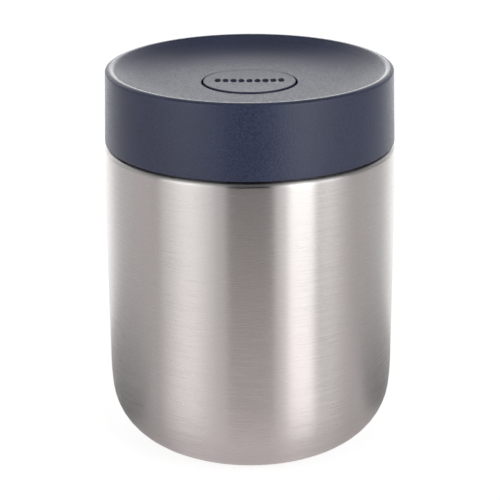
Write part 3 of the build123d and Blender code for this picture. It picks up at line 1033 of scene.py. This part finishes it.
    def gasket(self) -> bpy.types.Object:
        """Flat ring of rubber between the lip and the roof, rounder on its outer edge."""
        low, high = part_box("lid_gasket")
        inside = self.plug_radius + self.gasket_gap
        edge = self.gasket_round
        outline = rounded([(inside, low.z), (high.x, low.z, edge), (high.x, high.z, edge), (inside, high.z)],
                          True, MOULD_ROUND)
        return lathe("gasket_ring", outline, True)

    def build(self) -> None:
        """Builds and dresses the lid."""
        finishes = self.finishes
        place_piece(self.cap(), Body.LID, Slot.NAVY, finishes.navy, "lid_cap")
        place_piece(self.core(), Body.LID, Slot.CORE, finishes.core, "lid_core")
        place_piece(self.plug(), Body.LID, Slot.CORE, finishes.core, "lid_plug")
        place_piece(self.gasket(), Body.LID_SEAL, Slot.SILICONE, finishes.silicone, "lid_gasket")
        ridge = ThreadRidge("lid_thread", NECK_RADIUS + self.thread_room, -THREAD_HEIGHT,
                            self.thread_foot, first_turn=self.thread_turn)
        place_piece(ridge.build(), Body.LID, Slot.CORE, finishes.core)
        dress_node("lid_foam", finishes.foam)


@dataclass
class VentValve:
    """Button in the dish, with the stem, seal, washer and spring under it."""

    finishes: Finishes
    edge_round: float = 0.4 * MM
    floor: float = 1.6 * MM
    skirt_wall: float = 1.3 * MM
    boss_radius: float = 4.9 * MM
    boss_foot: float = 122.3 * MM
    stem_step: float = 0.5 * MM
    stem_round: float = 0.3 * MM
    seal_edge: float = 0.6 * MM
    seal_hub_margin: float = 0.2 * MM
    washer_round: float = 0.12 * MM
    mark_count: int = 9               # short grooves that give the fingertip a grip
    mark_pitch: float = 2.7 * MM
    mark_width: float = 2.0 * MM
    mark_length: float = 4.6 * MM
    mark_depth: float = 0.8 * MM
    mark_ease: float = 0.35           # share of the oval over which the groove's edge falls
    mark_place: float = 0.9 * MM      # middle of the row, behind the button's middle
    mark_step: float = 0.25 * MM
    dip: float = 0.3 * MM             # shallow dish of the button's top, for the fingertip
    lip: float = 0.08 * MM            # fine raised line round it
    lip_power: int = 24
    wire: float = 0.8 * MM
    spring_turns: float = 4.0
    closed_turns: float = 0.85
    closed_pitch: float = 0.86 * MM
    spring_foot: float = WELL_HEIGHT
    opening: float = 0.25             # part of a turn in which the pitch opens
    turn_points: int = 64
    wire_columns: int = 20
    travel: float = 2.5 * MM

    def __post_init__(self) -> None:
        """Reads the stem's radius from the frame, and works out the bore of what it carries."""
        self.stem_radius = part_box("valve_stem")[1].x
        self.bore = self.stem_radius - self.stem_step

    def marks(self, x: np.ndarray, y: np.ndarray) -> np.ndarray:
        """Depth of the row of grooves: an oval's share of the full depth, eased from 0 at its edge.

        Args:
            x: places across the button.
            y: places from its front to its back.

        Returns:
            Depth at each place.
        """
        half = (self.mark_count - 1) / 2
        number = np.clip(np.round(x / self.mark_pitch + half) - half, -half, half)
        across = (x - number * self.mark_pitch) / (self.mark_width / 2)
        along = (y - self.mark_place) / (self.mark_length / 2)
        return self.mark_depth * eased((1 - across**2 - along**2) / self.mark_ease)

    def button(self) -> bpy.types.Object:
        """Shallow cap with a guide skirt and a boss for the stem, and the marks in its dished top.

        The top falls by the dip times one less the square of the radius's share, and by the lip times
        one less a high power of it.
        """
        low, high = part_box("vent_button")
        radius, top, under = high.x, high.z, high.z - self.floor
        face = spread(np.array([(0, top), (radius - self.edge_round, top)]), False, self.mark_step)
        corner = arc((radius - self.edge_round, top - self.edge_round), self.edge_round, 90, 0)[1:]
        inside = radius - self.skirt_wall
        rest = rounded([
            corner[-1], (radius, low.z), (inside, low.z), (inside, under), (self.boss_radius, under),
            (self.boss_radius, self.boss_foot), (self.stem_radius, self.boss_foot),
            (self.stem_radius, under, 0), (0, under),
        ], radius=MOULD_ROUND)
        grid = revolve(np.concatenate([face, corner[:-1], spread(rest, False)]), FULL_ROUND)
        rows = len(face)
        share = face[:, :1] / face[-1, 0]
        grid[:rows, :, 2] -= self.dip * (1 - share**2) + self.lip * (1 - share**self.lip_power)
        grid[:rows, :, 2] -= self.marks(grid[:rows, :, 0], grid[:rows, :, 1])
        return grid_object("button_moulded", grid, False)

    def stem(self) -> bpy.types.Object:
        """Pin pressed into the button, stepped down for the seal and rounded at its foot."""
        low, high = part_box("valve_stem")
        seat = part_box("valve_seal")[1].z
        outline = rounded([(0, high.z), (high.x, high.z), (high.x, seat), (self.bore, seat),
                           (self.bore, low.z, self.stem_round), (0, low.z)])
        return lathe("stem_turned", outline, False, SMALL_ROUND)

    def seal(self) -> bpy.types.Object:
        """Soft disc with a flat face on top and a hub that swells down to the washer."""
        low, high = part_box("valve_seal")
        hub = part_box("seal_washer")[1].x + self.seal_hub_margin
        outline = rounded([(self.bore, high.z, 0), (high.x, high.z, MOULD_ROUND / 2),
                           (high.x, high.z - self.seal_edge), (hub, low.z), (self.bore, low.z, 0)],
                          True, MOULD_ROUND)
        return lathe("seal_disc", outline, True, SMALL_ROUND)

    def washer(self) -> bpy.types.Object:
        """Push-on ring with eased edges."""
        low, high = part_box("seal_washer")
        outline = rounded([(self.bore, high.z, 0), (high.x, high.z), (high.x, low.z), (self.bore, low.z, 0)],
                          True, self.washer_round)
        return lathe("washer_pressed", outline, True, SMALL_ROUND)

    def spring(self) -> bpy.types.Object:
        """Wire on a helix whose pitch is close at both ends, so that each end sits flat.

        The rise for each part of a turn eases from the closed pitch to the open one, and the height is
        its running sum, scaled to fill the space between the well's floor and the button.
        """
        low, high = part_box("button_spring")
        turn = np.linspace(0, self.spring_turns, round(self.spring_turns * self.turn_points) + 1)
        end = np.minimum(turn, self.spring_turns - turn)
        open_share = eased((end - self.closed_turns) / self.opening + 0.5)
        run = high.z - low.z - self.wire
        open_turns = self.spring_turns - 2 * self.closed_turns
        open_pitch = (run - 2 * self.closed_turns * self.closed_pitch) / open_turns
        rate = self.closed_pitch + (open_pitch - self.closed_pitch) * open_share
        height = np.concatenate([[0], np.cumsum((rate[1:] + rate[:-1]) / 2)])
        height = low.z + self.wire / 2 + run * height / height[-1]
        radius = high.x - self.wire / 2
        path = np.stack([radius * np.cos(turn * TURN), radius * np.sin(turn * TURN), height], axis=1)
        return tube("spring_coil", path, self.wire / 2, self.wire_columns)

    def build(self) -> None:
        """Builds and dresses the valve; the spring rides on the lid with a mesh of its own."""
        finishes = self.finishes
        place_piece(self.button(), Body.VENT_VALVE, Slot.NAVY, finishes.navy, "vent_button")
        place_piece(self.stem(), Body.VENT_VALVE, Slot.VALVE_STEEL, finishes.valve_steel, "valve_stem")
        place_piece(self.seal(), Body.VENT_VALVE, Slot.SILICONE, finishes.silicone, "valve_seal")
        place_piece(self.washer(), Body.VENT_VALVE, Slot.VALVE_STEEL, finishes.valve_steel, "seal_washer")
        spring = place_piece(self.spring(), Body.LID, Slot.VALVE_STEEL, finishes.valve_steel, "button_spring")
        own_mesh(spring)


@dataclass(frozen=True)
class Panel:
    """One lit panel or pale wall of the studio, as a round object sees it from the middle.

    Azimuth is 0 behind the camera and grows towards +X. All angles are in degrees.
    """

    azimuth: float
    half_width: float
    fade: float
    strength: float
    top: float
    top_fade: float


@dataclass(frozen=True)
class PaintedFloorPatch:
    """Round patch of painted light on the floor that only the metal shows, or of painted shade where the
    strength is negative.

    Its strength holds out to the inner radius and fades to nothing at the outer one.
    """

    x: float
    y: float
    inner: float
    outer: float
    strength: float


@dataclass
class Studio:
    """Plain studio: pale floor, lit panels all round, and the camera."""

    ambient: float = 0.008
    ceiling: float = 0.344
    ceiling_foot: float = 40.0        # degrees of elevation at which the ceiling begins
    ceiling_full: float = 80.0        # and at which it has its full strength
    floor_front: float = 0.32
    floor_reach: float = 2.0
    floor_colour: float = 0.45
    floor_white: float = 0.8          # glow that the camera sees
    painted_floor_glow: float = 0.48         # painted even glow that only the metal's reflections show
    painted_glow_tone: str = "#fff2f3"       # faint warm cast of the painted glow in front, as the metal shows it
    floor_warm: float = 0.1           # depth over which it is gone, from the object backwards
    distance: float = 582.0 * MM
    elevation: float = 20.51
    target_height: float = 67.0 * MM
    focal_pixels: float = 1654.9
    picture_pixels: int = 500
    middle_pixels: float = 250.3
    roll: float = -0.28
    sensor: float = 36.0
    near: float = 10.0 * MM           # nearest thing that the camera shows
    panels: tuple[Panel, ...] = (
        Panel(180, 20, 24, 0.99, 22, 14),                   # white backdrop, lower half
        Panel(180, 20, 24, 1.28, 42, 20),                   # and up to its top edge
        Panel(-146, 13, 14, 1.11, 42, 20),                  # its left end
        Panel(146, 13, 14, 0.76, 42, 20),                   # its right end
        Panel(-104, 32, 24, 0.47, 45, 30),                  # pale wall on the left
        Panel(104, 32, 24, 0.33, 45, 30),                   # pale wall on the right
        Panel(-51, 14, 26, 1.08, 45, 30),                   # broad panel, front left
        Panel(-50.5, 21.5, 6, 0.88, 45, 30),                # its even part
        Panel(-24, 6, 4, 0.68, 45, 30),                     # its dimmer inner edge
        Panel(24, 5.5, 4, 0.95, 45, 30),                    # dim edge of the bright strip
        Panel(39.6, 10.3, 4, 2.68, 45, 30),                 # bright strip, front right
        Panel(62, 12, 30, 1.9, 45, 30),                     # broad panel, right
    )
    painted_patches: tuple[PaintedFloorPatch, ...] = (
        PaintedFloorPatch(0.0, 0.0, 0.06, 0.16, -0.07),            # painted shade round the foot
        PaintedFloorPatch(-0.07, -0.015, 0.015, 0.05, -0.20),      # painted shade, deeper beside it, on the left
        PaintedFloorPatch(0.07, -0.015, 0.015, 0.05, -0.05),       # and on the right
        PaintedFloorPatch(-0.1, 0.014, 0.03, 0.062, -0.42),        # painted shade further out, on the left
        PaintedFloorPatch(0.099, 0.024, 0.028, 0.056, -0.47),      # and on the right
        PaintedFloorPatch(-0.089, 0.045, 0.03, 0.06, -0.45),       # painted shade on to behind the object, on the left
        PaintedFloorPatch(0.088, 0.05, 0.02, 0.05, -0.45),         # and on the right
        PaintedFloorPatch(0.0, -0.1, 0.03, 0.09, 0.20),            # painted pool of light in front of the foot
        PaintedFloorPatch(-0.09, -0.1, 0.015, 0.05, 0.56),         # painted pool of light under the left panel
        PaintedFloorPatch(0.07, -0.11, 0.01, 0.04, 1.39),          # painted pool of light under the bright strip
        PaintedFloorPatch(0.0, 0.7, 0.5, 0.68, 0.60),              # painted white sweep behind the object, seen only in the metal
        PaintedFloorPatch(0.0, 1.2, 0.78, 0.9, 0.8),               # brightest at its far end
        PaintedFloorPatch(0.0, 0.15, 0.075, 0.105, -0.6),          # painted shade of the object on the sweep
        PaintedFloorPatch(0.0, 0.25, 0.1, 0.135, -0.5),            # and further back
    )

    def world(self) -> None:
        """Studio light by direction.

        Each panel is a window in azimuth, from the angle between the direction and the panel's middle,
        times a window in elevation. The directions are turned first so that the panel's middle lies on
        +X. The sum, with a dim room and a soft ceiling, lights the object. Rays from the camera and
        through glass see plain white.
        """
        world = bpy.data.worlds.new("studio")
        bpy.context.scene.world = world
        world.use_nodes = True
        tree = world.node_tree
        tree.nodes.clear()
        way = add_node(tree, "ShaderNodeTexCoord").outputs["Generated"]
        height = add_node(tree, "ShaderNodeSeparateXYZ", None, {0: way}).outputs["Z"]
        lift = add_node(tree, "ShaderNodeMath", {"operation": "ARCSINE"}, {0: height})
        total = add_node(tree, "ShaderNodeMapRange",
                         {"interpolation_type": "SMOOTHSTEP", "From Min": math.radians(self.ceiling_foot),
                          "From Max": math.radians(self.ceiling_full), "To Min": self.ambient,
                          "To Max": self.ceiling}, {"Value": lift})
        for panel in self.panels:
            turned = add_node(tree, "ShaderNodeVectorRotate",
                              {"rotation_type": "Z_AXIS", "Angle": math.radians(90 - panel.azimuth)},
                              {"Vector": way})
            parts = add_node(tree, "ShaderNodeSeparateXYZ", None, {0: turned}).outputs
            angle = add_node(tree, "ShaderNodeMath", {"operation": "ARCTAN2"}, {0: parts["Y"], 1: parts["X"]})
            apart = add_node(tree, "ShaderNodeMath", {"operation": "ABSOLUTE"}, {0: angle})
            windows = []
            for value, edge, fade, level in ((apart, panel.half_width, panel.fade, panel.strength),
                                             (lift, panel.top, panel.top_fade, 1.0)):
                edge, ease = math.radians(edge), math.radians(fade) / 2
                windows.append(add_node(tree, "ShaderNodeMapRange",
                                        {"interpolation_type": "SMOOTHSTEP", "From Min": edge - ease,
                                         "From Max": edge + ease, "To Min": level, "To Max": 0.0},
                                        {"Value": value}))
            total = add_node(tree, "ShaderNodeMath", {"operation": "MULTIPLY_ADD"},
                             {0: windows[0], 1: windows[1], 2: total})
        rays = add_node(tree, "ShaderNodeLightPath").outputs
        plain = add_node(tree, "ShaderNodeMath", {"operation": "MAXIMUM"},
                         {0: rays["Is Camera Ray"], 1: rays["Is Transmission Ray"]})
        level = add_node(tree, "ShaderNodeMix", {"data_type": "FLOAT", 3: 1.0}, {0: plain, 2: total})
        glow = add_node(tree, "ShaderNodeBackground", {"Color": WHITE}, {"Strength": level})
        output = add_node(tree, "ShaderNodeOutputWorld", None, {"Surface": glow})
        output.is_active_output = True

    def floor(self) -> None:
        """Pale floor, near white to the camera and in the metal, that keeps the object's soft shadow.

        What the metal shows is a painted glow: an even level plus each patch of painted light or painted
        shade, by the distance from its middle, and never less than nothing.
        """
        side, front = self.floor_reach, -self.floor_front
        mesh = bpy.data.meshes.new("studio_floor")
        corners = [(-side, front, 0), (side, front, 0), (side, side, 0), (-side, side, 0)]
        mesh.from_pydata(corners, [], [(0, 1, 2, 3)])
        floor = add_object("studio_floor", mesh)
        material, tree = new_material("pale studio floor")
        grey = self.floor_colour
        matt = add_node(tree, "ShaderNodeBsdfDiffuse", {"Color": (grey, grey, grey, 1)})
        rays = add_node(tree, "ShaderNodeLightPath").outputs
        place = add_node(tree, "ShaderNodeTexCoord").outputs["Object"]
        depth = add_node(tree, "ShaderNodeSeparateXYZ", None, {0: place}).outputs["Y"]
        far = add_node(tree, "ShaderNodeMapRange",
                       {"interpolation_type": "SMOOTHSTEP", "From Max": self.floor_warm}, {"Value": depth})
        plain = add_node(tree, "ShaderNodeMath", {"operation": "MAXIMUM"},
                         {0: far, 1: rays["Is Camera Ray"]})
        # Warm tint of the painted glow near the object, white to the camera and further back
        tone = add_node(tree, "ShaderNodeMix",
                        {"data_type": "RGBA", 6: linear(self.painted_glow_tone), 7: WHITE}, {0: plain})
        # Painted glow, seen only by glossy rays, so it shows in reflections alone
        painted_glow = add_node(tree, "ShaderNodeMath", {"operation": "MULTIPLY", 1: self.painted_floor_glow},
                         {0: rays["Is Glossy Ray"]})
        # Painted light and painted shade on the floor, patch by patch, seen only by glossy rays
        for patch in self.painted_patches:
            apart = add_node(tree, "ShaderNodeVectorMath",
                             {"operation": "DISTANCE", 1: (patch.x, patch.y, 0)}, {0: place})
            level = add_node(tree, "ShaderNodeMapRange",
                             {"interpolation_type": "SMOOTHSTEP", "From Min": patch.inner,
                              "From Max": patch.outer, "To Min": patch.strength, "To Max": 0.0},
                             {"Value": apart.outputs["Value"]})
            painted_glow = add_node(tree, "ShaderNodeMath", {"operation": "MULTIPLY_ADD"},
                             {0: level, 1: rays["Is Glossy Ray"], 2: painted_glow})
        held = add_node(tree, "ShaderNodeMath", {"operation": "MAXIMUM", 1: 0.0}, {0: painted_glow})
        strength = add_node(tree, "ShaderNodeMath", {"operation": "MULTIPLY_ADD", 1: self.floor_white},
                            {0: rays["Is Camera Ray"], 2: held})
        glow = add_node(tree, "ShaderNodeEmission", None, {"Color": tone.outputs[2], "Strength": strength})
        both = add_node(tree, "ShaderNodeAddShader", None, {0: matt, 1: glow})
        add_node(tree, "ShaderNodeOutputMaterial", None, {"Surface": both})
        mesh.materials.append(material)

    def camera(self) -> None:
        """Camera in front of the canister, looking down on its axis at the photograph's angle."""
        lift = math.radians(self.elevation)
        target = Vector((0, 0, self.target_height))
        place = target + self.distance * Vector((0, -math.cos(lift), math.sin(lift)))
        lens = bpy.data.cameras.new("camera")
        lens.sensor_width = self.sensor
        lens.lens = self.focal_pixels / self.picture_pixels * self.sensor
        lens.shift_x = (self.picture_pixels / 2 - self.middle_pixels) / self.picture_pixels
        lens.clip_start = self.near
        camera = add_object("camera", lens)
        look = (target - place).to_track_quat("-Z", "Y").to_matrix().to_4x4()
        roll = Matrix.Rotation(math.radians(self.roll), 4, "Z")
        camera.matrix_world = Matrix.Translation(place) @ look @ roll
        bpy.context.scene.camera = camera

    def build(self) -> None:
        """Sets up the light, the floor, the camera and the view."""
        bpy.context.scene.view_settings.view_transform = "Standard"
        self.world()
        self.floor()
        self.camera()


def main() -> None:
    """Builds every sub-assembly in order."""
    logging.basicConfig(level=logging.INFO, format="%(name)s: %(message)s")
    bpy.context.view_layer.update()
    finishes = Finishes()
    SteelBody(finishes).build()
    InnerVessel(finishes).build()
    Lid(finishes).build()
    VentValve(finishes).build()
    Studio().build()


if __name__ == "__main__":
    main()
